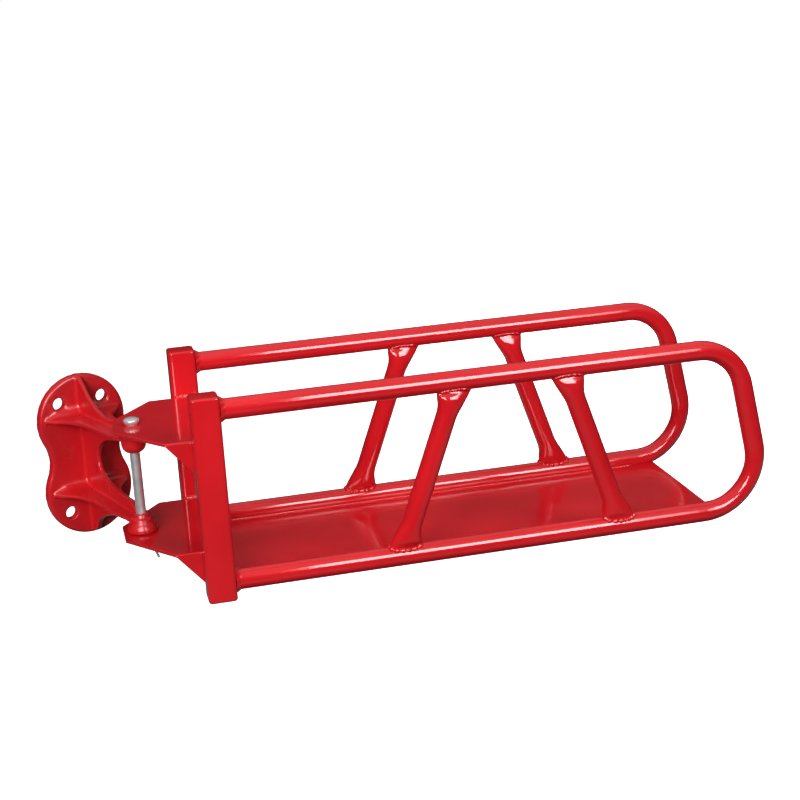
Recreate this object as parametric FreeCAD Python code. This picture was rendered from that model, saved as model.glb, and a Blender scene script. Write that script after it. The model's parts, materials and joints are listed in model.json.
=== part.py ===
import FreeCAD, Part
import math
import os

V = FreeCAD.Vector

# ---- driving dimensions (mm) ------------------------------------------------
# Row frame: wall face is y = 0, the room is -Y, X runs along the wall, Z is up,
# and the origin is the centre of the bolt pattern on the wall face.

TUBE_OD = 25.4          # 1 in tube for the loops and the struts
TUBE_WALL = 2.0
SIDE_SPACING = 241.0    # centre to centre of the two side loops
TOP_Z = 111.0           # centreline of the top runs
BOTTOM_Z = -102.0       # centreline of the bottom runs
LOOP_CORNER_X = 648.0   # top corner of the loop, before rounding
LEG_RAKE = 10.65        # end leg leans outward at the bottom (deg)
TOP_BEND = 63.0         # centreline bend radii
BOTTOM_BEND = 70.5

POST_SIDE = 35.0
POST_WALL = 3.0
POST_CORNER_R = 5.0
POST_TOP = 130.0
POST_BOTTOM = -123.5
CAP_T = 3.0

PIN_OFFSET = 96.0       # pin axis to the loop side of the posts
PIN_WALL = 158.0        # pin axis to the wall
REST_ANGLE = -21.7      # cradle direction about Z, 0 is along the wall

PLATE_T = 4.0
PLATE_INNER = 67.25     # inner face of both hinge plates
PLATE_BREAK_X = -65.0
PLATE_TIP_X = -120.0
PLATE_TIP_HALF = 26.0
FLAP_DEPTH = 40.5
FLAP_CORNER_X = -34.3   # where the flap reaches its full depth

TRAY_TOP = -108.4
TRAY_T = 3.0
TRAY_START = -30.0
TRAY_END = 628.5

STRUT_INNER = (286.0, 204.0)    # top and bottom x of the strut axes
STRUT_OUTER = (421.0, 490.0)
STRUT_STAGGER = 2.2             # front struts this much outward, rear ones inward
STRUT_END_HALF = 18.5
STRUT_END_T = 8.0

PIN_R = 6.35
PIN_FIT = 0.05
PIN_HEAD_R = 10.0
PIN_HEAD_H = 9.5
PIN_LOW = -86.5
COTTER_Z = -79.5
COTTER_R = 1.6
COTTER_TURN = 45.0      # about the pin axis (deg)
COTTER_LEG = 26.0

FLANGE_T = 11.0
LOBE_R = 60.0
LOBE_Z = 48.0
WAIST_R = 50.2
BOLT_X = 60.0
BOLT_Z = 148.0
BOLT_HOLE_R = 8.0
FLANGE_EDGE_R = 4.0
RIB_T = 6.5
ARM_T = 6.0             # thickness of an arm along its spine
ARM_EDGE_T = 4.5        # and along its thin outer edge
ARM_SPINE = 0.45        # width of the thick middle, as a share of the arm
ARM_ROOT_R = 13.0       # largest hollow fillet between an arm's top and the flange
UPPER_ARM_Z = 52.0      # underside of an arm at the flange
LOWER_ARM_Z = -48.0
LOWER_ARM_DROP = 5.8    # how much lower the lower arm meets its boss
SUNK = 1.0              # how far a fillet reaches into the solids it joins
BOSS_GAP = 0.5

WELD = 4.0

os.makedirs("parts", exist_ok=True)


def save(name, shape):
    shape = shape.removeSplitter()
    shape.exportStep("parts/" + name + ".step")


def box(x0, x1, y0, y1, z0, z1):
    return Part.makeBox(x1 - x0, y1 - y0, z1 - z0, V(x0, y0, z0))


def prism(points, direction):
    wire = Part.makePolygon(points + [points[0]])
    return Part.Face(wire).extrude(direction)


def to_row(shape):
    """Cradle coordinates to the row frame, at the rest angle."""
    moved = shape.copy()
    moved.translate(V(PIN_OFFSET, 0, 0))
    moved.rotate(V(0, 0, 0), V(0, 0, 1), REST_ANGLE)
    moved.translate(V(0, -PIN_WALL, 0))
    return moved


# ---- side loops -------------------------------------------------------------
HALF = SIDE_SPACING / 2.0
TUBE_R = TUBE_OD / 2.0
DROP = TOP_Z - BOTTOM_Z
rake = math.radians(LEG_RAKE)
leg_dir = V(math.sin(rake), 0, -math.cos(rake))


def loop_path(y):
    """Top run, rounded corner, raked leg, rounded corner, bottom run."""
    corner_a = V(LOOP_CORNER_X, y, TOP_Z)
    corner_b = corner_a + leg_dir * (DROP / math.cos(rake))
    turn_a = math.pi / 2 - rake
    turn_b = math.pi / 2 + rake
    cut_a = TOP_BEND * math.tan(turn_a / 2)
    cut_b = BOTTOM_BEND * math.tan(turn_b / 2)
    a0 = corner_a - V(cut_a, 0, 0)
    a1 = corner_a + leg_dir * cut_a
    centre_a = a0 - V(0, 0, TOP_BEND)
    b0 = corner_b - leg_dir * cut_b
    b1 = corner_b - V(cut_b, 0, 0)
    centre_b = b1 + V(0, 0, BOTTOM_BEND)
    mid_a = centre_a + (a0 + a1 - centre_a * 2).normalize() * TOP_BEND
    mid_b = centre_b + (b0 + b1 - centre_b * 2).normalize() * BOTTOM_BEND
    edges = [
        Part.makeLine(V(0, y, TOP_Z), a0),
        Part.Arc(a0, mid_a, a1).toShape(),
        Part.makeLine(a1, b0),
        Part.Arc(b0, mid_b, b1).toShape(),
        Part.makeLine(b1, V(0, y, BOTTOM_Z)),
    ]
    return Part.Wire(edges)


def tube_along(path, start, direction, radius):
    ring = Part.makeCircle(radius, start, direction)
    return path.makePipeShell([Part.Wire(ring)], True, True)


def make_loop(y):
    path = loop_path(y)
    start = V(0, y, TOP_Z)
    outer = tube_along(path, start, V(1, 0, 0), TUBE_R)
    inner = tube_along(path, start, V(1, 0, 0), TUBE_R - TUBE_WALL)
    return outer, outer.cut(inner)


loops = {}
solid_loops = {}
for name, y in (("front", -HALF), ("rear", HALF)):
    solid_loops[name], loops[name] = make_loop(y)
    save(name + "_loop_tube", to_row(loops[name]))

# ---- struts: round tube, both ends pressed flat in the loop plane ------------


def strut_shape(y, x_top, x_bottom):
    top = V(x_top, y, TOP_Z)
    bottom = V(x_bottom, y, BOTTOM_Z)
    axis = (bottom - top)
    length = axis.Length
    axis.normalize()
    side = V(0, 1, 0).cross(axis)
    squash = [
        (6.0, STRUT_END_HALF + 0.5, STRUT_END_T / 2),
        (15.0, STRUT_END_HALF, STRUT_END_T / 2 + 0.4),
        (24.0, STRUT_END_HALF - 2.6, STRUT_END_T / 2 + 3.2),
        (34.0, 13.6, 11.4),
        (44.0, TUBE_R, TUBE_R - 0.01),
    ]
    stations = list(squash)
    for t, a, b in reversed(squash):
        stations.append((length - t, a, b))
    rings = []
    for t, a, b in stations:
        centre = top + axis * t
        ellipse = Part.Ellipse(centre + side * a, centre + V(0, b, 0), centre)
        rings.append(Part.Wire(ellipse.toShape()))
    ends = Part.makeLoft(rings[:5], True)
    middle = Part.makeLoft(rings[4:6], True)
    feet = Part.makeLoft(rings[5:], True)
    return ends.fuse([middle, feet]).removeSplitter()


strut_shapes = {}
strut_feet = {}
for name, y, shift in (("front", -HALF, STRUT_STAGGER), ("rear", HALF, -STRUT_STAGGER)):
    for kind, (x_top, x_bottom) in (("inner", STRUT_INNER), ("outer", STRUT_OUTER)):
        strut_feet[(name, kind)] = (x_top + shift, x_bottom + shift)
        strut = strut_shape(y, x_top + shift, x_bottom + shift).cut(solid_loops[name])
        solids = sorted(strut.Solids, key=lambda s: s.Volume)
        strut_shapes[(name, kind)] = solids[-1]
        save(name + "_strut_" + kind, to_row(solids[-1]))

# ---- posts and their caps -----------------------------------------------------
half_post = POST_SIDE / 2.0
post_blocks = {}
for name, y in (("front", -HALF), ("rear", HALF)):
    block = box(-POST_SIDE, 0, y - half_post, y + half_post, POST_BOTTOM, POST_TOP)
    outer = block.makeFillet(POST_CORNER_R, [e for e in block.Edges if abs(e.tangentAt(0).z) > 0.9])
    bore = box(-POST_SIDE + POST_WALL, -POST_WALL, y - half_post + POST_WALL,
               y + half_post - POST_WALL, POST_BOTTOM, POST_TOP)
    post_blocks[name] = outer
    body = outer.cut(bore)
    for end, z0, z1 in (("top", POST_TOP - CAP_T, POST_TOP), ("bottom", POST_BOTTOM, POST_BOTTOM + CAP_T)):
        slab = box(-POST_SIDE, 0, y - half_post, y + half_post, z0, z1)
        cap = outer.common(slab)
        body = body.cut(slab)
        save(name + "_post_cap_" + end, to_row(cap))
    save(name + "_post", to_row(body))

# ---- hinge plates: flat plate between the posts with two folded flaps ----------
inner_y = HALF - half_post


def hinge_plate(z_inner, up):
    """up = 1 for the upper plate, -1 for the lower; flaps always point down."""
    z0 = z_inner if up > 0 else z_inner - PLATE_T
    outline = [
        V(0, -inner_y, z0),
        V(PLATE_BREAK_X, -inner_y, z0),
        V(PLATE_TIP_X, -PLATE_TIP_HALF, z0),
        V(PLATE_TIP_X, PLATE_TIP_HALF, z0),
        V(PLATE_BREAK_X, inner_y, z0),
        V(0, inner_y, z0),
    ]
    plate = prism(outline, V(0, 0, PLATE_T))
    for sign in (-1, 1):
        y_out = sign * inner_y
        flap = [
            V(0, y_out, z0 + PLATE_T),
            V(PLATE_BREAK_X, y_out, z0 + PLATE_T),
            V(PLATE_BREAK_X, y_out, z0),
            V(FLAP_CORNER_X, y_out, z0 + PLATE_T - FLAP_DEPTH),
            V(0, y_out, z0 + PLATE_T - FLAP_DEPTH),
        ]
        plate = plate.fuse(prism(flap, V(0, -sign * PLATE_T, 0)))
    plate = plate.removeSplitter()
    folds = []
    for edge in plate.Edges:
        c = edge.CenterOfMass
        long_x = abs(edge.tangentAt(edge.FirstParameter).x) > 0.99 and edge.Length > 50
        if long_x and abs(abs(c.y) - inner_y) < 0.01 and abs(c.z - z0 - PLATE_T) < 0.01:
            folds.append(edge)
    plate = plate.makeFillet(3.0, folds)
    bore = Part.makeCylinder(PIN_R, PLATE_T + 2, V(-PIN_OFFSET, 0, z0 - 1))
    return plate.cut(bore)


upper_plate = hinge_plate(PLATE_INNER, 1)
lower_plate = hinge_plate(-PLATE_INNER, -1)
save("upper_hinge_plate", to_row(upper_plate))
save("lower_hinge_plate", to_row(lower_plate))

# ---- tray -----------------------------------------------------------------------
tray = box(TRAY_START, TRAY_END, -HALF, HALF, TRAY_TOP - TRAY_T, TRAY_TOP)
for name in ("front", "rear"):
    tray = tray.cut(solid_loops[name]).cut(post_blocks[name])
tray = sorted(tray.Solids, key=lambda s: s.Volume)[-1]
save("tray_plate", to_row(tray))

# ---- weld beads -------------------------------------------------------------------


def ring_bead(y, z):
    """Fillet all round a tube where it butts on the post."""
    section = [V(0, y, z + TUBE_R), V(0, y, z + TUBE_R + WELD), V(WELD * 1.4, y, z + TUBE_R)]
    face = Part.Face(Part.makePolygon(section + [section[0]]))
    ring = face.revolve(V(0, y, z), V(1, 0, 0), 360)
    limit = box(-1, 10, y - half_post, y + half_post, z - 30, z + 30)
    return ring.common(limit)


for name, y in (("front", -HALF), ("rear", HALF)):
    beads = [ring_bead(y, TOP_Z), ring_bead(y, BOTTOM_Z).cut(tray)]
    save(name + "_loop_welds", to_row(Part.makeCompound(beads)))

for name, y in (("front", -HALF), ("rear", HALF)):
    beads = []
    for kind in ("inner", "outer"):
        x_top, x_bottom = strut_feet[(name, kind)]
        slope = (x_bottom - x_top) / DROP
        for z, end in ((TOP_Z - TUBE_R, "top"), (BOTTOM_Z + TUBE_R, "bottom")):
            x_mid = x_top + slope * (TOP_Z - z)
            for sign in (-1, 1):
                y_bead = y + sign * (STRUT_END_T / 2 + 1.0)
                start = V(x_mid - STRUT_END_HALF + 2, y_bead, z)
                rod = Part.makeCylinder(3.2, 2 * STRUT_END_HALF - 4, start, V(1, 0, 0))
                rod = rod.cut(solid_loops[name]).cut(strut_shapes[(name, kind)])
                if end == "bottom":
                    rod = rod.cut(tray)
                beads.append(sorted(rod.Solids, key=lambda s: s.Volume)[-1])
    save(name + "_strut_welds", to_row(Part.makeCompound(beads)))

for label, z_top in (("upper", PLATE_INNER + PLATE_T), ("lower", -PLATE_INNER)):
    beads = []
    for sign in (-1, 1):
        y_face = sign * inner_y
        y_in = sign * (inner_y - WELD)
        corner = [V(-POST_SIDE + 2, y_face, z_top), V(-POST_SIDE + 2, y_in, z_top),
                  V(-POST_SIDE + 2, y_face, z_top + WELD)]
        bead = prism(corner, V(POST_SIDE - 4, 0, 0))
        beads.append(bead.cut(upper_plate if label == "upper" else lower_plate))
    save(label + "_plate_welds", to_row(Part.makeCompound(beads)))

beads = []
for name, sign in (("front", -1), ("rear", 1)):
    rod_y = sign * (HALF - 11.0)
    rod = Part.makeCylinder(2.6, 590.0, V(8, rod_y, TRAY_TOP), V(1, 0, 0))
    rod = rod.cut(solid_loops[name]).cut(tray)
    upper = [s for s in rod.Solids if s.CenterOfMass.z > TRAY_TOP]
    beads.append(sorted(upper, key=lambda s: s.Volume)[-1])
save("tray_welds", to_row(Part.makeCompound(beads)))

# ---- hinge pin and split pin --------------------------------------------------------
pin_top = PLATE_INNER + PLATE_T
profile = [
    V(0, 0, PIN_LOW),
    V(PIN_R - 1.0, 0, PIN_LOW),
    V(PIN_R, 0, PIN_LOW + 1.5),
    V(PIN_R, 0, pin_top),
    V(PIN_R + 0.3, 0, pin_top),
    V(PIN_HEAD_R, 0, pin_top + 5.6),
    V(PIN_HEAD_R - 0.6, 0, pin_top + 7.2),
    V(PIN_HEAD_R - 4.0, 0, pin_top + PIN_HEAD_H - 0.8),
    V(0, 0, pin_top + PIN_HEAD_H),
]
pin = Part.Face(Part.makePolygon(profile + [profile[0]])).revolve(V(0, 0, 0), V(0, 0, 1), 360)
cotter_bore = Part.makeCylinder(COTTER_R, 4 * PIN_R, V(0, -2 * PIN_R, COTTER_Z), V(0, 1, 0))
cotter_bore.rotate(V(0, 0, 0), V(0, 0, 1), COTTER_TURN)
pin = pin.cut(cotter_bore)
pin.translate(V(-PIN_OFFSET, 0, 0))
save("hinge_pin", to_row(pin))

knee_at = V(0, -PIN_R - 2.6, COTTER_Z)
eye = Part.makeTorus(4.2, COTTER_R, V(0, PIN_R + 6.2, COTTER_Z), V(1, 0, 0))
shank = Part.makeCylinder(COTTER_R, 2 * PIN_R + 3.9, knee_at, V(0, 1, 0))
knee = Part.makeSphere(COTTER_R, knee_at)
leg = Part.makeCylinder(COTTER_R, COTTER_LEG, knee_at, V(0.28, -0.26, -0.92))
cotter = eye.fuse([shank, knee, leg])
cotter.rotate(V(0, 0, 0), V(0, 0, 1), COTTER_TURN)
cotter.translate(V(-PIN_OFFSET, 0, 0))
save("cotter_pin", to_row(cotter))

# ---- wall bracket: one casting ---------------------------------------------------------


def wp(u, w, z):
    """Bracket coordinates: u along the wall, w out from the flange face."""
    return V(u, -(FLANGE_T + w), z)


reach = PIN_WALL - FLANGE_T
lobe_top = Part.makeCylinder(LOBE_R, FLANGE_T, V(0, 0, LOBE_Z), V(0, -1, 0))
lobe_low = Part.makeCylinder(LOBE_R, FLANGE_T, V(0, 0, -LOBE_Z), V(0, -1, 0))
waist_centre = math.sqrt((LOBE_R + WAIST_R) ** 2 - LOBE_Z ** 2)
touch_x = waist_centre * LOBE_R / (LOBE_R + WAIST_R)
touch_z = LOBE_Z - LOBE_Z * LOBE_R / (LOBE_R + WAIST_R)
web = box(-touch_x, touch_x, -FLANGE_T, 0, -touch_z, touch_z)
for sign in (-1, 1):
    scoop = Part.makeCylinder(WAIST_R, FLANGE_T + 2, V(sign * waist_centre, 1, 0), V(0, -1, 0))
    web = web.cut(scoop)
flange = lobe_top.fuse([lobe_low, web]).removeSplitter()
rim = [e for e in flange.Edges
       if abs(e.CenterOfMass.y + FLANGE_T) < 0.01 and abs(e.tangentAt(e.FirstParameter).y) < 0.01]
flange = flange.makeFillet(FLANGE_EDGE_R, rim)

boss_top_z = PLATE_INNER - BOSS_GAP


def cone_stack(sections):
    """Revolve (radius, z) pairs about the pin axis."""
    pts = [V(0, -PIN_WALL, sections[0][1])]
    pts += [V(r, -PIN_WALL, z) for r, z in sections]
    pts.append(V(0, -PIN_WALL, sections[-1][1]))
    face = Part.Face(Part.makePolygon(pts + [pts[0]]))
    return face.revolve(V(0, -PIN_WALL, 0), V(0, 0, 1), 360)


upper_boss = cone_stack([(15.5, boss_top_z), (15.5, 46.0), (14.0, 41.0), (10.5, 37.5), (9.0, 37.0)])
lower_boss = cone_stack([(8.6, -42.5), (9.8, -44.5), (12.5, -51.0), (17.0, -57.5), (19.2, -62.0),
                         (19.2, -boss_top_z)])


def arm_outline(z, share):
    """Closed outline at height z: wide at the flange, hollow sides, round at the boss."""
    edge = [(-55.0, -2.0), (-46.0, 8.0), (-35.0, 20.0), (-27.5, 33.0), (-23.5, 48.0),
            (-21.0, 82.0), (-18.5, 120.0), (-14.0, reach)]
    edge = [(u * share, w) for u, w in edge]
    tip_u = edge[-1][0]
    left = Part.BSplineCurve()
    left.interpolate([wp(u, w, z) for u, w in edge])
    right = Part.BSplineCurve()
    right.interpolate([wp(-u, w, z) for u, w in reversed(edge)])
    front = Part.Arc(wp(tip_u, reach, z), wp(0, reach - tip_u, z), wp(-tip_u, reach, z))
    back = Part.makeLine(wp(-edge[0][0], -2.0, z), wp(edge[0][0], -2.0, z))
    return Part.Wire([left.toShape(), front.toShape(), right.toShape(), back])


def arm(z_low, z_boss_low):
    """Arm with a thin outer edge that rises to a thick spine, tilted down to its boss."""
    base = Part.Face(arm_outline(z_low, 1.0)).extrude(V(0, 0, ARM_EDGE_T))
    slope = Part.makeLoft([arm_outline(z_low + ARM_EDGE_T, 1.0), arm_outline(z_low + ARM_T, ARM_SPINE)],
                          True, True)
    slab = base.fuse(slope)
    tilt = math.degrees(math.atan2(z_boss_low - z_low, reach))
    slab.rotate(wp(0, 0, z_low), V(1, 0, 0), -tilt)
    return slab


# distance along the wall, and radius of the arm's root fillet there: it fades out at the arm's corners
ROOT_FILLET = [(50.0, 2.0), (46.0, 4.5), (40.0, 8.5), (35.0, 11.5), (29.0, ARM_ROOT_R)]


def arm_root(z_top):
    """Hollow fillet between an arm's top and the flange face."""
    sections = [(-u, r) for u, r in ROOT_FILLET] + [(u, r) for u, r in reversed(ROOT_FILLET)]
    wires = []
    for u, radius in sections:
        lean = radius * (1 - math.sqrt(0.5))
        on_arm = wp(u, radius, z_top)
        on_flange = wp(u, 0, z_top + radius)
        behind = wp(u, -SUNK, z_top + radius)
        corner = wp(u, -SUNK, z_top - SUNK)
        below = wp(u, radius, z_top - SUNK)
        hollow = Part.Arc(on_arm, wp(u, lean, z_top + lean), on_flange).toShape()
        edges = [Part.makeLine(behind, corner), Part.makeLine(corner, below),
                 Part.makeLine(below, on_arm), hollow, Part.makeLine(on_flange, behind)]
        wires.append(Part.Wire(edges))
    return Part.makeLoft(wires, True, True)


upper_arm = arm(UPPER_ARM_Z, UPPER_ARM_Z)
lower_arm = arm(LOWER_ARM_Z, LOWER_ARM_Z - LOWER_ARM_DROP)

crest = [(3.0, 104.5), (12.0, 97.5), (28.0, 82.5), (46.0, 72.5), (62.0, 67.5), (78.0, 66.0)]
window = [(134.0, 49.5), (113.0, 42.5), (90.0, 38.5), (68.5, 33.5), (52.0, 25.5), (42.0, 14.5),
          (39.0, 3.5), (41.0, -6.5), (48.0, -15.0), (69.5, -25.0), (97.5, -29.5), (124.0, -34.0),
          (139.0, -43.5)]
belly = [(0.0, -105.0), (9.0, -102.5), (17.0, -91.5), (42.0, -75.5), (80.5, -65.0), (132.0, -61.6)]


def rib_curve(points):
    curve = Part.BSplineCurve()
    curve.interpolate([wp(-RIB_T / 2, w, z) for w, z in points])
    return curve.toShape()


def rib_line(points):
    pts = [wp(-RIB_T / 2, w, z) for w, z in points]
    return [Part.makeLine(a, b) for a, b in zip(pts[:-1], pts[1:])]


rib_edges = rib_line([(-2.0, -105.0), (-2.0, 104.5), crest[0]])
rib_edges.append(rib_curve(crest))
rib_edges += rib_line([crest[-1], (134.0, 66.0), window[0]])
rib_edges.append(rib_curve(window))
rib_edges += rib_line([window[-1], (139.0, -61.6), belly[-1]])
rib_edges.append(rib_curve(belly))
rib_edges += rib_line([belly[0], (-2.0, -105.0)])
rib_wire = Part.Wire(Part.__sortEdges__(rib_edges))
rib = Part.Face(rib_wire).extrude(V(RIB_T, 0, 0))

arms = [upper_arm, lower_arm, arm_root(UPPER_ARM_Z + ARM_T), arm_root(LOWER_ARM_Z + ARM_T)]
bracket = flange.fuse([rib] + arms + [upper_boss, lower_boss]).removeSplitter()
for sx in (-1, 1):
    for sz in (-1, 1):
        start = V(sx * BOLT_X / 2, 5, sz * BOLT_Z / 2)
        bracket = bracket.cut(Part.makeCylinder(BOLT_HOLE_R, FLANGE_T + 10, start, V(0, -1, 0)))
for z0, z1 in ((30.0, 80.0), (-80.0, -30.0)):
    bracket = bracket.cut(Part.makeCylinder(PIN_R + PIN_FIT, z1 - z0, V(0, -PIN_WALL, z0)))
save("wall_bracket", bracket)
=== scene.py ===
"""Looks of a wall-mounted swinging fire hose rack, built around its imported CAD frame.

The cradle's own coordinates have x from the posts' inner face towards the free end, y across
from the near side to the far side, and z up. CRADLE turns them into the row frame.
"""

import json
import math

import bmesh
import bpy
from mathutils import Matrix, Vector, noise


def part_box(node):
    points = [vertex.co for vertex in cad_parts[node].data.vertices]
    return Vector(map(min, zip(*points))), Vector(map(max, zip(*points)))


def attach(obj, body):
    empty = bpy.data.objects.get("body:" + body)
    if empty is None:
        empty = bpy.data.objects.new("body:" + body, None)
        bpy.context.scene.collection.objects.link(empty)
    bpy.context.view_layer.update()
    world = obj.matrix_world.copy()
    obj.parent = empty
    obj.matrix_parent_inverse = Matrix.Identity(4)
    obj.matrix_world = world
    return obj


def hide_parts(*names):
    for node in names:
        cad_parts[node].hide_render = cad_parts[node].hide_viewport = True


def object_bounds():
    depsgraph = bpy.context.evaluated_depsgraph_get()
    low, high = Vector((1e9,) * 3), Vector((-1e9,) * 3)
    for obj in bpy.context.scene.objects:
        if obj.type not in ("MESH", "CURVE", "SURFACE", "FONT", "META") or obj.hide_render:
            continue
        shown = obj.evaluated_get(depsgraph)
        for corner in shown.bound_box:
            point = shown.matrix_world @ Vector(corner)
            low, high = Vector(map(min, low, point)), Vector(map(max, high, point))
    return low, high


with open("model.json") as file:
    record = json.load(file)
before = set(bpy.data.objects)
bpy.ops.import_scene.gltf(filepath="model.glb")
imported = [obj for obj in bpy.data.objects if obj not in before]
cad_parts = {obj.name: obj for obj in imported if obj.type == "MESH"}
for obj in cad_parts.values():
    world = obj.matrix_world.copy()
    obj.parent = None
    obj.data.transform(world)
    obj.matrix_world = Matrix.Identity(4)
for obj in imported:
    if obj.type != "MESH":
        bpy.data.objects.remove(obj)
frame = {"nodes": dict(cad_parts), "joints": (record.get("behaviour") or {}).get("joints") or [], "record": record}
CAD_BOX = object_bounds()

MM = 0.001
SWING = frame["joints"][0]
REST_TURN = -math.radians(SWING["range_deg"][1])
PIN_OFFSET = 96.0 * MM
CRADLE = (Matrix.Translation(SWING["pos_m"]) @ Matrix.Rotation(REST_TURN, 4, "Z")
          @ Matrix.Translation((PIN_OFFSET, 0, 0)))
TO_CRADLE = CRADLE.inverted()


def local_box(node):
    """Lowest and highest corner of a CAD node in the cradle's own coordinates."""
    points = [TO_CRADLE @ v.co for v in frame["nodes"][node].data.vertices]
    low = Vector([min(p[i] for p in points) for i in range(3)])
    high = Vector([max(p[i] for p in points) for i in range(3)])
    return low, high


# ---- sizes, from the frame where it gives them ---------------------------------------------
SIDES = ("front", "rear")
LOOP = {side: local_box(side + "_loop_tube") for side in SIDES}
POST = {side: local_box(side + "_post") for side in SIDES}
TUBE_R = (LOOP["front"][1].y - LOOP["front"][0].y) / 2
SIDE_Y = {side: (LOOP[side][0].y + LOOP[side][1].y) / 2 for side in SIDES}
TOP_Z = LOOP["front"][1].z - TUBE_R
BOTTOM_Z = LOOP["front"][0].z + TUBE_R
DROP = TOP_Z - BOTTOM_Z
TRAY_LOW, TRAY_HIGH = local_box("tray_plate")

PIN_LOW, PIN_HIGH = local_box("hinge_pin")
PLATE = {level: local_box(level + "_hinge_plate") for level in ("upper", "lower")}

LOOP_CORNER_X = 648.0 * MM  # a loop's top corner, before rounding
LEG_RAKE = math.radians(10.65)
TOP_BEND = 63.0 * MM
BOTTOM_BEND = 70.5 * MM
# where each strut's axis meets the top and bottom run, and how far each side's struts stand off that
STRUT_ENDS = {"inner": (286.0 * MM, 204.0 * MM), "outer": (421.0 * MM, 490.0 * MM)}
STRUT_STAGGER = {"front": 2.2 * MM, "rear": -2.2 * MM}
STRUT_SLOPE = {kind: (foot - top) / DROP for kind, (top, foot) in STRUT_ENDS.items()}


# ---- materials --------------------------------------------------------------------------------
def new_material(name):
    """A material with nodes, its tree and its surface shader."""
    material = bpy.data.materials.new(name)
    material.use_nodes = True
    tree = material.node_tree
    shader = next(n for n in tree.nodes if n.type == "BSDF_PRINCIPLED")
    return material, tree, shader


def noise_node(tree, coords, scale, detail=2.0, roughness=0.5):
    node = tree.nodes.new("ShaderNodeTexNoise")
    node.inputs["Scale"].default_value = scale
    node.inputs["Detail"].default_value = detail
    node.inputs["Roughness"].default_value = roughness
    tree.links.new(coords, node.inputs["Vector"])
    return node.outputs["Fac"]


def ramp_node(tree, factor, stops):
    """Colour that runs through stops, each a place from 0 to 1 and its colour."""
    node = tree.nodes.new("ShaderNodeValToRGB")
    elements = node.color_ramp.elements
    while len(elements) < len(stops):
        elements.new(0.5)
    for element, (place, colour) in zip(elements, stops):
        element.position = place
        element.color = (*colour, 1.0)
    tree.links.new(factor, node.inputs["Fac"])
    return node.outputs["Color"]


def range_node(tree, value, low, high):
    """A value from 0 to 1 stretched to run from low to high."""
    node = tree.nodes.new("ShaderNodeMapRange")
    node.inputs["To Min"].default_value = low
    node.inputs["To Max"].default_value = high
    tree.links.new(value, node.inputs["Value"])
    return node.outputs["Result"]


def bump_node(tree, height, distance, below=None):
    """Bumps of a height of up to distance, on top of the bumps below."""
    node = tree.nodes.new("ShaderNodeBump")
    node.inputs["Distance"].default_value = distance
    node.inputs["Strength"].default_value = 1.0
    tree.links.new(height, node.inputs["Height"])
    if below is not None:
        tree.links.new(below, node.inputs["Normal"])
    return node.outputs["Normal"]


def object_coords(tree):
    return tree.nodes.new("ShaderNodeTexCoord").outputs["Object"]


RED = (0.60, 0.010, 0.016)
RED_DEEP = (0.53, 0.007, 0.012)
ZINC_DULL = (0.62, 0.63, 0.65)
ZINC_BRIGHT = (0.80, 0.81, 0.82)


def enamel(name, peel, sag, rough=0.09, coat=0.35):
    """Glossy red enamel: peel is the fine orange peel's height, sag the slow waves' height."""
    material, tree, shader = new_material(name)
    coords = object_coords(tree)
    patches = noise_node(tree, coords, scale=9.0, detail=4.0)
    colour = ramp_node(tree, patches, [(0.35, RED_DEEP), (0.65, RED)])
    tree.links.new(colour, shader.inputs["Base Color"])
    wipe = noise_node(tree, coords, scale=26.0, detail=5.0, roughness=0.6)
    tree.links.new(range_node(tree, wipe, rough - 0.03, rough + 0.06), shader.inputs["Roughness"])
    slow = bump_node(tree, noise_node(tree, coords, scale=55.0), sag)
    fine = bump_node(tree, noise_node(tree, coords, scale=420.0), peel, below=slow)
    tree.links.new(fine, shader.inputs["Normal"])
    shader.inputs["Specular IOR Level"].default_value = 0.5
    shader.inputs["Coat Weight"].default_value = coat
    shader.inputs["Coat Roughness"].default_value = 0.05
    return material


def zinc(name):
    """Bright zinc plate over turned steel: fine rings round the pin and a cloudy passivation."""
    material, tree, shader = new_material(name)
    coords = object_coords(tree)
    cloud = noise_node(tree, coords, scale=90.0, detail=4.0)
    colour = ramp_node(tree, cloud, [(0.3, ZINC_DULL), (0.7, ZINC_BRIGHT)])
    tree.links.new(colour, shader.inputs["Base Color"])
    stretch = tree.nodes.new("ShaderNodeMapping")
    stretch.inputs["Scale"].default_value = (60.0, 60.0, 2600.0)
    tree.links.new(coords, stretch.inputs["Vector"])
    rings = noise_node(tree, stretch.outputs["Vector"], scale=1.0, detail=3.0)
    tree.links.new(range_node(tree, rings, 0.30, 0.46), shader.inputs["Roughness"])
    tree.links.new(bump_node(tree, rings, 0.04 * MM), shader.inputs["Normal"])
    shader.inputs["Metallic"].default_value = 0.75
    return material


ENAMEL = enamel("enamel", peel=0.010 * MM, sag=0.05 * MM)
ENAMEL_CAST = enamel("enamel_on_casting", peel=0.03 * MM, sag=0.12 * MM, rough=0.27, coat=0.12)
ENAMEL_WELD = enamel("enamel_on_weld", peel=0.03 * MM, sag=0.15 * MM, rough=0.16)
ENAMEL_SHEET = enamel("enamel_on_sheet", peel=0.014 * MM, sag=0.05 * MM, rough=0.16, coat=0.28)
ZINC = zinc("zinc_plate")
# material of each slot that the CAD record names
FINISH = {"red_enamel": ENAMEL, "red_enamel_cast": ENAMEL_CAST, "red_enamel_weld": ENAMEL_WELD,
          "zinc_steel": ZINC}
for subpart in frame["record"]["subparts"]:
    mesh = frame["nodes"][subpart["node"]].data
    mesh.materials.clear()
    mesh.materials.append(FINISH[subpart["material_slot"]])


# ---- mesh tools ---------------------------------------------------------------------------------
def smoothstep(low, high, value):
    """0 up to low, 1 from high on, and a soft rise between."""
    share = min(max((value - low) / (high - low), 0.0), 1.0)
    return share * share * (3 - 2 * share)


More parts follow.
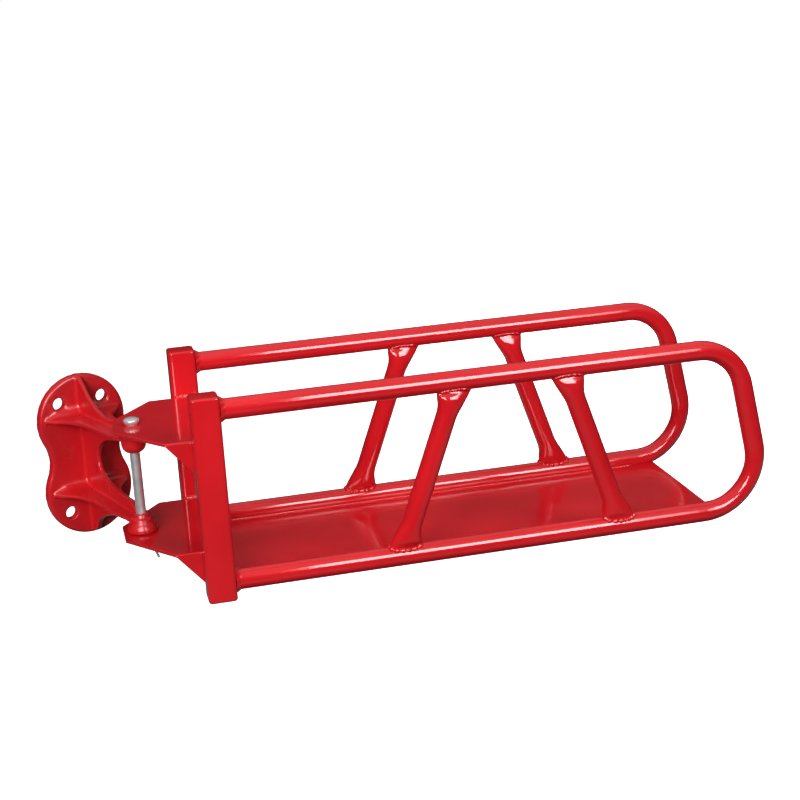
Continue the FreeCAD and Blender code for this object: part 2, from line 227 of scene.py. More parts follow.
def skin(rings, closed=False):
    """bmesh over rings of equally many points; open ends get a flat face."""
    bm = bmesh.new()
    rows = [[bm.verts.new(p) for p in ring] for ring in rings]
    count = len(rows[0])
    pairs = list(zip(rows, rows[1:]))
    if closed:
        pairs.append((rows[-1], rows[0]))
    for one, two in pairs:
        for i in range(count):
            j = (i + 1) % count
            bm.faces.new((one[i], one[j], two[j], two[i]))
    if not closed:
        bm.faces.new(reversed(rows[0]))
        bm.faces.new(rows[-1])
    bmesh.ops.recalc_face_normals(bm, faces=bm.faces)
    return bm


def to_mesh(name, forms, sharp):
    """One mesh of several bmeshes in cradle coordinates, smooth where faces meet under the sharp angle."""
    mesh = bpy.data.meshes.new(name)
    whole = bmesh.new()
    for form in forms:
        form.to_mesh(mesh)
        form.free()
        whole.from_mesh(mesh)
    whole.to_mesh(mesh)
    whole.free()
    mesh.transform(CRADLE)
    mesh.shade_smooth()
    mesh.set_sharp_from_angle(angle=math.radians(sharp))
    return mesh


def add_piece(name, mesh, body, finish, *nodes):
    """A visible piece that rides on a body and stands for CAD nodes."""
    piece = bpy.data.objects.new(name, mesh)
    bpy.context.scene.collection.objects.link(piece)
    mesh.materials.clear()
    mesh.materials.append(FINISH[finish])
    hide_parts(*nodes)
    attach(piece, body)
    return piece


def cradle_piece(name, forms, finish, *nodes, sharp=35.0):
    """Add a piece of the cradle that is made of bmeshes."""
    return add_piece(name, to_mesh(name, forms, sharp), "cradle", finish, *nodes)


def evaluated(name, mesh, modifiers):
    """A copy of mesh with modifiers, each a type and its settings, applied."""
    helper = bpy.data.objects.new(name + "_helper", mesh)
    bpy.context.scene.collection.objects.link(helper)
    for kind, settings in modifiers:
        modifier = helper.modifiers.new(kind.lower(), kind)
        for key, value in settings.items():
            setattr(modifier, key, value)
    graph = bpy.context.evaluated_depsgraph_get()
    result = bpy.data.meshes.new_from_object(helper.evaluated_get(graph))
    result.name = name
    bpy.data.objects.remove(helper)
    return result


# ---- side loops ---------------------------------------------------------------------------------
TURN_A = math.pi / 2 - LEG_RAKE  # turn of the top bend; the bottom bend turns the rest of the half circle
CUT_A = TOP_BEND * math.tan(TURN_A / 2)  # from each corner to where its bend starts
CUT_B = BOTTOM_BEND * math.tan((math.pi - TURN_A) / 2)
LOW_CORNER_X = LOOP_CORNER_X + DROP * math.tan(LEG_RAKE)
TUBE_SIDES = 72
RUN_STEPS = 12
BEND_STEPS = 64
TOP_FLAT = 0.07         # how much of the radius each bend loses on its inner side
BOTTOM_FLAT = 0.17
FLAT_FADE = 0.3         # share of a bend over which that comes in


def loop_normal(turn):
    """Outward direction in the loop's plane after the path has turned by that angle."""
    return Vector((math.sin(turn), 0, math.cos(turn)))


def loop_stations(y):
    """(centre, turn, flattening) along top run, bend, raked leg, bend and bottom run."""
    centre_a = Vector((LOOP_CORNER_X - CUT_A, y, TOP_Z - TOP_BEND))
    centre_b = Vector((LOW_CORNER_X - CUT_B, y, BOTTOM_Z + BOTTOM_BEND))
    stations = [(Vector((centre_a.x * k / RUN_STEPS, y, TOP_Z)), 0.0, 0.0) for k in range(RUN_STEPS)]
    for centre, radius, start, end, flat in ((centre_a, TOP_BEND, 0.0, TURN_A, TOP_FLAT),
                                             (centre_b, BOTTOM_BEND, TURN_A, math.pi, BOTTOM_FLAT)):
        for k in range(BEND_STEPS + 1):
            share = k / BEND_STEPS
            turn = start + (end - start) * share
            depth = flat * smoothstep(0.0, FLAT_FADE, share) * smoothstep(0.0, FLAT_FADE, 1 - share)
            stations.append((centre + loop_normal(turn) * radius, turn, depth))
    for k in range(1, RUN_STEPS + 1):
        stations.append((Vector((centre_b.x * (1 - k / RUN_STEPS), y, BOTTOM_Z)), math.pi, 0.0))
    return stations


def loop_form(y):
    """One side loop: a round tube whose bends are a little flattened on their inner side."""
    rings = []
    for centre, turn, depth in loop_stations(y):
        out = loop_normal(turn)
        ring = []
        for k in range(TUBE_SIDES):
            angle = 2 * math.pi * k / TUBE_SIDES
            rise = math.sin(angle)
            reach = TUBE_R * (1 - depth) if rise < 0 else TUBE_R
            ring.append(centre + out * (rise * reach) + Vector((0, math.cos(angle) * TUBE_R, 0)))
        rings.append(ring)
    return skin(rings)


# ---- struts ---------------------------------------------------------------------------------------
STRUT_WIDE = 19.6 * MM      # half width and half thickness where the tube is pressed most
STRUT_BODY = 12.0 * MM
STRUT_BOXY = 0.5            # how much the pressed section leans from an ellipse to a rounded box
FLARE_FROM = 10.0 * MM      # distances from the axis of the loop run that the strut meets
FLARE_TO = 46.0 * MM
FACET_FROM = 15.5 * MM
FACET_BLEND = 0.8 * MM
COPE_EDGE = 0.6 * MM        # how far short of the run's full radius the saddle cut stops
COPE_FADE = 40.0 * MM
END_RINGS = 44              # rings a step apart at each end, and steps between them
END_STEP = 1.0 * MM
MIDDLE_STEPS = 10
# each strut's press differs a little: half thickness of its flat end, slope in degrees of the facet above
# it, how much that facet falls away towards the sides, and how softly it meets the round tube
PRESS = {("front", "inner"): (7.4 * MM, 24.0, 0.17, 0.8 * MM),
         ("front", "outer"): (8.4 * MM, 21.0, 0.11, 0.6 * MM),
         ("rear", "inner"): (7.6 * MM, 19.5, 0.16, 0.8 * MM),
         ("rear", "outer"): (7.2 * MM, 20.0, 0.13, 1.2 * MM)}
STRUT_SIDES = 96


def soft_least(one, two, blend):
    """The smaller of two lengths, with the corner between them rounded over by blend."""
    return -blend * math.log(math.exp(-one / blend) + math.exp(-two / blend))


def soft_most(one, two, blend):
    """The larger of two lengths, rounded over in the same way."""
    return -soft_least(-one, -two, blend)


def strut_point(angle, away, thin, slope, crown, blend):
    """Section point (along the loop, across it) at a distance from the nearer loop run's axis.

    The tube flares and flattens towards its end, and a sloping facet is pressed into each side.
    """
    press = 1 - smoothstep(FLARE_FROM, FLARE_TO, away)
    wide = TUBE_R + (STRUT_WIDE - TUBE_R) * press
    thick = TUBE_R - (TUBE_R - STRUT_BODY) * press
    power = 2 / (2 + STRUT_BOXY * press)
    cosine, sine = math.cos(angle), math.sin(angle)
    along = wide * math.copysign(abs(cosine) ** power, cosine)
    across = thick * abs(sine) ** power
    rise = soft_most(0.0, away - FACET_FROM, FACET_BLEND)
    facet = thin + rise * math.tan(math.radians(slope)) - crown * along ** 2 / wide
    across = min(across, max(soft_least(across, facet, blend), 0.0))
    return along, math.copysign(across, sine)


def strut_form(side, kind):
    """A strut between two runs, both ends pressed and cut to saddle the round runs."""
    y = SIDE_Y[side]
    top = Vector((STRUT_ENDS[kind][0] + STRUT_STAGGER[side], y, TOP_Z))
    foot = Vector((STRUT_ENDS[kind][1] + STRUT_STAGGER[side], y, BOTTOM_Z))
    length = (foot - top).length
    axis = (foot - top) / length
    along_axis = Vector((0, 1, 0)).cross(axis)
    edge = TUBE_R - COPE_EDGE
    steps = [TUBE_R + k * END_STEP for k in range(END_RINGS)]
    between = length - 2 * steps[-1]
    middle = [steps[-1] + between * k / MIDDLE_STEPS for k in range(1, MIDDLE_STEPS)]
    rings = []
    for place in steps + middle + [length - d for d in reversed(steps)]:
        lower = place > length / 2
        away = length - place if lower else place
        ring = []
        for k in range(STRUT_SIDES):
            along, across = strut_point(2 * math.pi * k / STRUT_SIDES, away, *PRESS[(side, kind)])
            reach = math.sqrt(edge ** 2 - min(abs(across), edge) ** 2)
            if lower:
                coped = length + (reach - along_axis.z * along) / axis.z
            else:
                coped = (-reach - along_axis.z * along) / axis.z
            start = length - coped if lower else coped
            fade = 1 - smoothstep(TUBE_R, COPE_FADE, away)
            shifted = away + (start - TUBE_R) * fade
            at = length - shifted if lower else shifted
            ring.append(top + axis * at + along_axis * along + Vector((0, across, 0)))
        rings.append(ring)
    return skin(rings)


# ---- posts and caps ---------------------------------------------------------------------------------
POST_CORNER = 5.0 * MM
LEAST_CORNER = 1.2 * MM
CAP_RIM = 3.0 * MM
CORNER_STEPS = 8
POST_STEPS = 8
QUARTER = math.pi / 2


def square_ring(low, high, inset, z):
    """Rounded square at height z, drawn in from the post's faces by inset."""
    radius = max(POST_CORNER - inset, LEAST_CORNER)
    draw_in = inset + radius
    centres = ((high.x - draw_in, high.y - draw_in), (low.x + draw_in, high.y - draw_in),
               (low.x + draw_in, low.y + draw_in), (high.x - draw_in, low.y + draw_in))
    ring = []
    for corner, (x, y) in enumerate(centres):
        for k in range(CORNER_STEPS + 1):
            angle = QUARTER * (corner + k / CORNER_STEPS)
            ring.append(Vector((x + radius * math.cos(angle), y + radius * math.sin(angle), z)))
    return ring


def cap_form(side, end):
    """A closing plate on a post's end, with its rim rounded over."""
    low, high = POST[side]
    node_low, node_high = local_box(side + "_post_cap_" + end)
    seam, face = (node_low.z, node_high.z) if end == "top" else (node_high.z, node_low.z)
    up = math.copysign(1, face - seam)
    rings = [square_ring(low, high, 0, seam)]
    for k in range(CORNER_STEPS + 1):
        angle = QUARTER * k / CORNER_STEPS
        inset = CAP_RIM * (1 - math.cos(angle))
        rings.append(square_ring(low, high, inset, face - up * CAP_RIM * (1 - math.sin(angle))))
    return skin(rings)


def post_form(side):
    """An upright square tube with rounded corners."""
    low, high = POST[side]
    rise = high.z - low.z
    return skin([square_ring(low, high, 0, low.z + rise * k / POST_STEPS) for k in range(POST_STEPS + 1)])


# ---- weld beads -----------------------------------------------------------------------------------
BEAD_SIDES = 14
BEAD_SHARP = 60.0           # degrees
BEAD_STEP = 0.7 * MM
BEAD_PITCH = 7.0 * MM
BEAD_TAPER = 6              # steps over which an open bead's ends grow to full size
END_SIZE = 0.35
PITCH_VARIES = 0.45         # how much a bead's pitch, size and line vary, as shares
SIZE_VARIES = 0.12
WANDER = 0.16
PITCH_NOISE = 90            # and how quickly, in changes per metre
SIZE_NOISE = 150
WANDER_NOISE = 160
UPWARD = Vector((0.31, 0.17, 0.93))  # mostly up, and in line with no bead


def measured(path, step):
    """The points of a dense line that lie about a step apart."""
    points = [path[0]]
    travelled = 0.0
    for one, two in zip(path, path[1:]):
        travelled += (two - one).length
        if travelled >= step * len(points):
            points.append(two)
    return points


def bead(path, radius, seed, closed=False, pitch=BEAD_PITCH, lump=0.30):
    """Weld bead: lumps about a pitch apart that overlap, wander and differ in size."""
    points = measured(path, BEAD_STEP)
    count = len(points)
    rings = []
    phase = 0.0
    for k, point in enumerate(points):
        before = points[k - 1] if k or closed else point
        after = points[(k + 1) % count] if k + 1 < count or closed else point
        ahead = (after - before).normalized()
        side = ahead.cross(UPWARD).normalized()
        up = side.cross(ahead)
        drift = noise.noise(point * PITCH_NOISE + Vector((seed * 7.3, 0, 0)))
        phase += BEAD_STEP / (pitch * (1 + PITCH_VARIES * drift))
        ripple = 0.5 - 0.5 * math.cos(2 * math.pi * phase)
        uneven = SIZE_VARIES * noise.noise(point * SIZE_NOISE + Vector((0, seed, 0)))
        size = radius * (1 - lump + lump * ripple + uneven)
        if not closed:
            size *= END_SIZE + (1 - END_SIZE) * smoothstep(0, BEAD_TAPER, min(k, count - 1 - k))
        place = point * WANDER_NOISE
        wander = Vector((noise.noise(place + Vector((seed, 3, 0))),
                         noise.noise(place + Vector((seed, 0, 9))), 0)) * radius * WANDER
        ring = []
        for n in range(BEAD_SIDES):
            angle = 2 * math.pi * n / BEAD_SIDES
            ring.append(point + wander + (side * math.cos(angle) + up * math.sin(angle)) * size)
        rings.append(ring)
    return skin(rings, closed)


COLLAR_RISE = 4.0 * MM
COLLAR_LONG = 7.5 * MM
COLLAR_SUNK = 0.25 * MM     # how far the thin edge of a collar lies under the tube's surface
COLLAR_SWELL = 0.7 * MM
COLLAR_LUMPS = 11
COLLAR_SIDES = 160
COLLAR_STEPS = 12


def collar(y, z, seed):
    """Weld fillet where a loop run butts on its post: a rippled flare from the tube to the post."""
    rings = []
    for k in range(COLLAR_STEPS + 1):
        share = k / COLLAR_STEPS
        flare = (1 - share) ** 1.8
        bulge = math.sin(math.pi * min(share * 1.1, 1.0))
        ring = []
        for n in range(COLLAR_SIDES):
            angle = 2 * math.pi * n / COLLAR_SIDES
            outward = Vector((0, math.cos(angle), math.sin(angle)))
            drift = noise.noise(outward * 2.3 + Vector((seed * 3.1, 0, 0)))
            lump = 0.5 + 0.5 * math.sin(COLLAR_LUMPS * angle + 2.2 * drift + 1.5 * share)
            rise = COLLAR_RISE * flare * (0.86 + 0.14 * lump + 0.12 * drift)
            swell = COLLAR_SWELL * lump * bulge
            place = Vector((COLLAR_LONG * share * (1 + 0.18 * drift), y, z))
            ring.append(place + outward * (TUBE_R - COLLAR_SUNK + rise + swell))
        rings.append(ring)
    return skin(rings)


STRUT_BEAD = {"top": (1.9 * MM, 0.25), "bottom": (3.5 * MM, 0.45)}  # radius, and share that is lump
STRUT_BEAD_POINTS = 500
STRUT_BEAD_IN = 0.2 * MM    # its line lies inside the strut's edge lengthwise and outside it crosswise
STRUT_BEAD_OUT = 1.4 * MM
BOXY_POWER = 0.6


def boxy(value):
    """A sine or cosine bent so that its circle becomes a rounded box."""
    return math.copysign(abs(value) ** BOXY_POWER, value)


def around_strut(side, kind, end, seed):
    """Bead round a strut's flat end, on the loop run that it meets."""
    y = SIDE_Y[side]
    radius, lump = STRUT_BEAD[end]
    half_long = STRUT_WIDE - STRUT_BEAD_IN
    half_wide = PRESS[(side, kind)][0] + STRUT_BEAD_OUT
    sign, run_z = (-1, TOP_Z) if end == "top" else (1, BOTTOM_Z)
    level = run_z + sign * TUBE_R
    top_x = STRUT_ENDS[kind][0] + STRUT_STAGGER[side]
    middle = top_x + STRUT_SLOPE[kind] * (TOP_Z - level)
    path = []
    for k in range(STRUT_BEAD_POINTS):
        angle = 2 * math.pi * k / STRUT_BEAD_POINTS
        across = half_wide * boxy(math.sin(angle))
        height = math.sqrt(TUBE_R ** 2 - across ** 2)
        path.append(Vector((middle + half_long * boxy(math.cos(angle)), y + across, run_z + sign * height)))
    return bead(path, radius, seed, closed=True, lump=lump)


PLATE_BEAD_R = 2.6 * MM
PLATE_BEAD_IN = 0.6 * MM
PLATE_BEAD_UP = 0.4 * MM
PLATE_BEAD_SHORT = 2.0 * MM  # how far it stops before each edge of the post
PLATE_BEAD_POINTS = 200


def plate_bead(level, side, seed):
    """Bead in the corner between a hinge plate and a post."""
    low, high = PLATE[level]
    y = high.y - PLATE_BEAD_IN if side == "rear" else low.y + PLATE_BEAD_IN
    start = POST[side][0].x + PLATE_BEAD_SHORT
    reach = -PLATE_BEAD_SHORT - start
    path = [Vector((start + reach * k / PLATE_BEAD_POINTS, y, high.z + PLATE_BEAD_UP))
            for k in range(PLATE_BEAD_POINTS + 1)]
    return bead(path, PLATE_BEAD_R, seed)


TRAY_BEAD_R = 1.7 * MM
TRAY_BEAD_FROM = 8.0 * MM
TRAY_BEAD_LONG = 588.0 * MM
TRAY_BEAD_POINTS = 2400
TRAY_BEAD_OFF = 11.2 * MM    # from the run's axis, towards the middle of the tray
TRAY_BEAD_UP = 0.1 * MM


def tray_bead(side, seed):
    """Long thin bead between the tray and a bottom run."""
    y = SIDE_Y[side] - math.copysign(TRAY_BEAD_OFF, SIDE_Y[side])
    z = TRAY_HIGH.z + TRAY_BEAD_UP
    path = [Vector((TRAY_BEAD_FROM + TRAY_BEAD_LONG * k / TRAY_BEAD_POINTS, y, z))
            for k in range(TRAY_BEAD_POINTS + 1)]
    return bead(path, TRAY_BEAD_R, seed, pitch=5.5 * MM, lump=0.25)


# ---- tray -------------------------------------------------------------------------------------------
TRAY_STEPS = 220
TRAY_ROWS = 48
TRAY_STEP_X = 0.2 * MM      # the sheet widens within this distance of the posts' inner face
TRAY_STEP_CLEAR = 1.5 * MM  # and has no other row of points within this one
POST_GAP = 0.1 * MM
RUN_OVERLAP = 1.0 * MM      # how far the sheet reaches into the runs' welds
WAVE = 0.9 * MM
HELD_Y = 112.0 * MM         # where the welds hold the sheet flat, from its middle


def tray_half(x):
    """Half width at x: between the posts, then up to the loops, and under them where they rise."""
    if x < 0:
        return abs(SIDE_Y["front"]) - (POST["rear"][1].y - POST["rear"][0].y) / 2 - POST_GAP
    into = max(0.0, x - (LOW_CORNER_X - CUT_B))
    rise = BOTTOM_BEND - math.sqrt(BOTTOM_BEND ** 2 - into ** 2)
    height = BOTTOM_Z + rise - TRAY_HIGH.z
    return abs(SIDE_Y["front"]) - math.sqrt(max(TUBE_R ** 2 - height ** 2, 0)) + RUN_OVERLAP


def tray_sag(x, y):
    """Slow waves of a thin sheet that was welded along both sides."""
    free = max(1 - (y / HELD_Y) ** 2, 0)
    wave = noise.noise(Vector((x * 6.0, y * 9.0, 4.2))) * WAVE
    return -abs(wave) * math.sqrt(free)


def tray_form():
    """The tray: one sheet with a top, an underside and edges between them."""
    length = TRAY_HIGH.x - TRAY_LOW.x
    even = [TRAY_LOW.x + length * k / TRAY_STEPS for k in range(TRAY_STEPS + 1)]
    clear = [x for x in even if abs(x) > TRAY_STEP_CLEAR]
    xs = sorted(clear + [-TRAY_STEP_X, TRAY_STEP_X])
    rows = TRAY_ROWS
    bm = bmesh.new()
    sheets = []
    for depth in (0, TRAY_HIGH.z - TRAY_LOW.z):
        grid = []
        for x in xs:
            half = tray_half(x)
            column = []
            for k in range(rows + 1):
                y = half * (2 * k / rows - 1)
                column.append(bm.verts.new((x, y, TRAY_HIGH.z + tray_sag(x, y) - depth)))
            grid.append(column)
        sheets.append(grid)
    top, under = sheets
    for i in range(len(xs) - 1):
        for j in range(rows):
            bm.faces.new((top[i][j], top[i + 1][j], top[i + 1][j + 1], top[i][j + 1]))
            bm.faces.new((under[i][j], under[i][j + 1], under[i + 1][j + 1], under[i + 1][j]))
        for j in (0, rows):
            bm.faces.new((top[i][j], under[i][j], under[i + 1][j], top[i + 1][j]))
    for i in (0, len(xs) - 1):
        for j in range(rows):
            bm.faces.new((top[i][j], top[i][j + 1], under[i][j + 1], under[i][j]))
    bmesh.ops.recalc_face_normals(bm, faces=bm.faces)
    return bm


# ---- hinge plates -----------------------------------------------------------------------------------
PLATE_EDGE = 0.9 * MM
FLAT_ANGLE = math.radians(0.5)
EDGE_ANGLE = math.radians(40)


def softened(node):
    """A copy of the CAD node's mesh with its sharp edges rounded over."""
    bm = bmesh.new()
    bm.from_mesh(frame["nodes"][node].data)
    bmesh.ops.remove_doubles(bm, verts=bm.verts, dist=0.001 * MM)
    bmesh.ops.dissolve_limit(bm, angle_limit=FLAT_ANGLE, verts=bm.verts, edges=bm.edges)
    sharp = [e for e in bm.edges if len(e.link_faces) == 2 and e.calc_face_angle() > EDGE_ANGLE]
    bmesh.ops.bevel(bm, geom=sharp, offset=PLATE_EDGE, segments=4, profile=0.5, affect="EDGES",
                    clamp_overlap=True)
    mesh = bpy.data.meshes.new(node)
    bm.to_mesh(mesh)
    bm.free()
    mesh.shade_smooth()
    return evaluated(node + "_soft", mesh, [("WEIGHTED_NORMAL", {"keep_sharp": True, "weight": 80})])


# ---- pin and split pin ------------------------------------------------------------------------------
PIN_R = 6.35 * MM
PIN_SIDES = 64
HEAD_R = 9.95 * MM
HEAD_FLARE = 3.6 * MM       # how far the head's underside stands out over the pin
HEAD_WAIST = 0.62           # share of the head's height where it is widest
FLARE_STEPS = 8
DOME_STEPS = 10


def lathe(profile):
    """Turned form about the pin's axis from (radius, z) pairs, with flat ends."""
    rings = []
    for radius, z in profile:
        ring = []
        for k in range(PIN_SIDES):
            angle = 2 * math.pi * k / PIN_SIDES
            ring.append(Vector((-PIN_OFFSET + radius * math.cos(angle), radius * math.sin(angle), z)))
        rings.append(ring)
    return skin(rings)


def pin_form():
    """Headed pin: chamfered foot, plain shank, a flared underside of the head and a domed top."""
    low = PIN_LOW.z
    shoulder = PLATE["upper"][1].z
    head = PIN_HIGH.z - shoulder
    profile = [(2.0 * MM, low), (PIN_R - 1.4 * MM, low), (PIN_R - 1.0 * MM, low + 0.2 * MM),
               (PIN_R, low + 1.5 * MM), (PIN_R, low + 2.0 * MM),
               (PIN_R, shoulder - 0.3 * MM), (PIN_R, shoulder), (PIN_R + 0.4 * MM, shoulder + 0.1 * MM)]
    for k in range(1, FLARE_STEPS + 1):
        share = k / FLARE_STEPS
        profile.append((PIN_R + HEAD_FLARE * math.sin(QUARTER * share), shoulder + HEAD_WAIST * head * share))
    for k in range(1, DOME_STEPS):
        angle = QUARTER * k / DOME_STEPS
        height = HEAD_WAIST + (1 - HEAD_WAIST) * math.sin(angle)
        profile.append((HEAD_R * math.cos(angle), shoulder + head * height))
    return lathe(profile)


COTTER_Z = -79.5 * MM
COTTER_WIRE = 1.55 * MM
COTTER_TURN = math.radians(45.0)
COTTER_GAP = 0.12 * MM      # half the gap between the two flat sides of the wire
COTTER_KNEE = PIN_R + 2.6 * MM  # from the pin's axis to where the legs bend down
COTTER_LEG = Vector((0.28, -0.26, -0.92)).normalized() * 25.2 * MM
EYE_Y = PIN_R + 6.2 * MM
EYE_R = 4.1 * MM
EYE_NECK = 4.0 * MM         # from the eye's middle to where the two halves part
EYE_OPEN = math.radians(24)
LEG_STEPS = 12
EYE_STEPS = 32
WIRE_STEPS = 15


def cotter_line():
    """Middle of the wire's flat side: up one leg, round the eye and back down the other leg."""
    knee = Vector((0, -COTTER_KNEE, 0))
    straight = COTTER_KNEE + EYE_Y - EYE_NECK
    half = [knee + COTTER_LEG * (1 - k / LEG_STEPS) for k in range(LEG_STEPS)]
    half += [Vector((0, -COTTER_KNEE + straight * k / LEG_STEPS, 0)) for k in range(LEG_STEPS)]
    eye = []
    for k in range(EYE_STEPS + 1):
        angle = math.pi + EYE_OPEN - (2 * math.pi - 2 * EYE_OPEN) * k / EYE_STEPS
        eye.append(Vector((0, EYE_Y + EYE_R * math.cos(angle), EYE_R * math.sin(angle))))
    gap = Vector((0, 0, COTTER_GAP))
    return [p - gap for p in half] + eye[::-1] + [p + gap for p in reversed(half)]


def cotter_form():
    """Split pin of one half-round wire."""
    line = cotter_line()
    last = len(line) - 1
    rings = []
    for k, point in enumerate(line):
        ahead = (line[min(k + 1, last)] - line[max(k - 1, 0)]).normalized()
        side = Vector((1, 0, 0))
        side = (side - ahead * side.dot(ahead)).normalized()
        out = ahead.cross(side)
        ring = []
        for n in range(WIRE_STEPS + 1):
            angle = math.pi * n / WIRE_STEPS
            ring.append(point + (side * math.cos(angle) + out * math.sin(angle)) * COTTER_WIRE)
        rings.append(ring)
    form = skin(rings)
    form.transform(Matrix.Translation((-PIN_OFFSET, 0, COTTER_Z)) @ Matrix.Rotation(COTTER_TURN, 4, "Z"))
    return form


# ---- wall bracket -------------------------------------------------------------------------------------
FLANGE_T = 11.0 * MM
ROOT_ZONES = ((58.0 * MM, 92.0 * MM), (-43.0 * MM, -10.0 * MM))  # heights over which each fillet spreads
ROOT_ACROSS = (38.0 * MM, 52.0 * MM)  # from the bracket's middle, where it fades out
ROOT_OUT = (16.0 * MM, 34.0 * MM)     # and the same from the flange's face
ROOT_SKIN = (-2.0 * MM, 1.0 * MM)     # where it comes in, just under that face
ROOT_RISE = 5.0 * MM
ROOT_FALL = 12.0 * MM
ROOT_ROUNDS = 8
VOXEL = 1.3 * MM


def root_share(point):
    """How far a point of the casting lies in the hollow fillets on top of the arms' roots, 0 to 1."""
    out = -point.y - FLANGE_T
    across = 1 - smoothstep(*ROOT_ACROSS, abs(point.x))
    near = (1 - smoothstep(*ROOT_OUT, out)) * smoothstep(*ROOT_SKIN, out)
    level = max(smoothstep(low, low + ROOT_RISE, point.z) * (1 - smoothstep(high - ROOT_FALL, high, point.z))
                for low, high in ROOT_ZONES)
    return across * near * level


def bracket_mesh():
    """The casting: its CAD form with every edge and corner rounded as a mould leaves them."""
    source = frame["nodes"]["wall_bracket"].data.copy()
    cast = evaluated("wall_bracket_cast", source, [
        ("REMESH", {"mode": "VOXEL", "voxel_size": VOXEL, "adaptivity": 0.0}),
        ("SMOOTH", {"factor": 0.5, "iterations": 8}),
    ])
    bm = bmesh.new()
    bm.from_mesh(cast)
    roots = [(v, root_share(v.co)) for v in bm.verts]
    roots = [(v, share) for v, share in roots if share > 0.01]
    for _ in range(ROOT_ROUNDS):
        moved = []
        for vertex, share in roots:
            ring = [e.other_vert(vertex).co for e in vertex.link_edges]
            mean = sum(ring, Vector()) / len(ring)
            moved.append(vertex.co.lerp(mean, 0.5 * share))
        for (vertex, _share), place in zip(roots, moved):
            vertex.co = place
    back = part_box("wall_bracket")[1].y  # the side on the wall stays flat
    for vertex in bm.verts:
        if vertex.co.y > back - 1.0 * MM:
            vertex.co.y = back
    bm.to_mesh(cast)
    bm.free()
    cast.shade_smooth()
    return cast


# ---- the pieces, on their bodies ----------------------------------------------------------------------
seed = 1
for side in SIDES:
    cradle_piece(side + "_loop", [loop_form(SIDE_Y[side])], "red_enamel", side + "_loop_tube")
    cradle_piece(side + "_upright", [post_form(side)], "red_enamel", side + "_post")
    for end in ("top", "bottom"):
        cradle_piece(side + "_upright_cap_" + end, [cap_form(side, end)], "red_enamel",
                     side + "_post_cap_" + end)
    for kind in STRUT_ENDS:
        cradle_piece(side + "_brace_" + kind, [strut_form(side, kind)], "red_enamel", side + "_strut_" + kind)
    beads = [collar(SIDE_Y[side], z, seed + n) for n, z in enumerate((TOP_Z, BOTTOM_Z))]
    cradle_piece(side + "_loop_beads", beads, "red_enamel_weld", side + "_loop_welds", sharp=BEAD_SHARP)
    strut_ends = [(kind, end) for kind in STRUT_ENDS for end in STRUT_BEAD]
    beads = [around_strut(side, kind, end, seed + 10 + n) for n, (kind, end) in enumerate(strut_ends)]
    cradle_piece(side + "_brace_beads", beads, "red_enamel_weld", side + "_strut_welds", sharp=BEAD_SHARP)
    seed += 20
for level in PLATE:
    add_piece(level + "_leaf", softened(level + "_hinge_plate"), "cradle", "red_enamel",
              level + "_hinge_plate")
    beads = [plate_bead(level, side, seed + n) for n, side in enumerate(SIDES)]
    cradle_piece(level + "_leaf_beads", beads, "red_enamel_weld", level + "_plate_welds", sharp=BEAD_SHARP)
    seed += 5
tray = cradle_piece("tray", [tray_form()], "red_enamel", "tray_plate", sharp=40.0)
tray.data.materials[0] = ENAMEL_SHEET  # the same slot, a little less glossy
beads = [tray_bead(side, seed + n) for n, side in enumerate(SIDES)]
cradle_piece("tray_beads", beads, "red_enamel_weld", "tray_welds", sharp=BEAD_SHARP)
cradle_piece("pin", [pin_form()], "zinc_steel", "hinge_pin")
cradle_piece("split_pin", [cotter_form()], "zinc_steel", "cotter_pin", sharp=50.0)
BRACKET = add_piece("bracket_casting", bracket_mesh(), "bracket", "red_enamel_cast", "wall_bracket")


# ---- stage --------------------------------------------------------------------------------------
FLOOR_DROP = 0.42
FLOOR_SIZE = 60.0


def make_floor():
    """A white floor well below the rack, which hangs on a wall that isn't there."""
    low = CAD_BOX[0].z - FLOOR_DROP
    half = FLOOR_SIZE / 2
    mesh = bpy.data.meshes.new("floor")
    corners = [(-half, -half, low), (half, -half, low), (half, half, low), (-half, half, low)]
    mesh.from_pydata(corners, [], [(0, 1, 2, 3)])
    floor = bpy.data.objects.new("floor", mesh)
    bpy.context.scene.collection.objects.link(floor)
    material, tree, shader = new_material("floor_paper")
    grain = noise_node(tree, object_coords(tree), scale=3.0, detail=4.0)
    paper = ramp_node(tree, grain, [(0.0, (0.93, 0.93, 0.93)), (1.0, (0.96, 0.96, 0.96))])
    tree.links.new(paper, shader.inputs["Base Color"])
    shader.inputs["Roughness"].default_value = 0.9
    shader.inputs["Specular IOR Level"].default_value = 0.0
    shader.inputs["Emission Color"].default_value = (1.0, 1.0, 1.0, 1.0)
    shader.inputs["Emission Strength"].default_value = 1.0
    mesh.materials.append(material)
    floor.visible_diffuse = False
    floor.visible_glossy = False


AMBIENT = 0.035
# height from straight down to straight up, and the grey that gloss mirrors there
ROOM_GREYS = [(0.0, 0.02), (0.08, 0.05), (0.16, 0.22), (0.27, 0.20), (0.36, 0.04), (0.62, 0.02),
              (0.72, 0.10), (0.85, 0.45), (1.0, 0.55)]


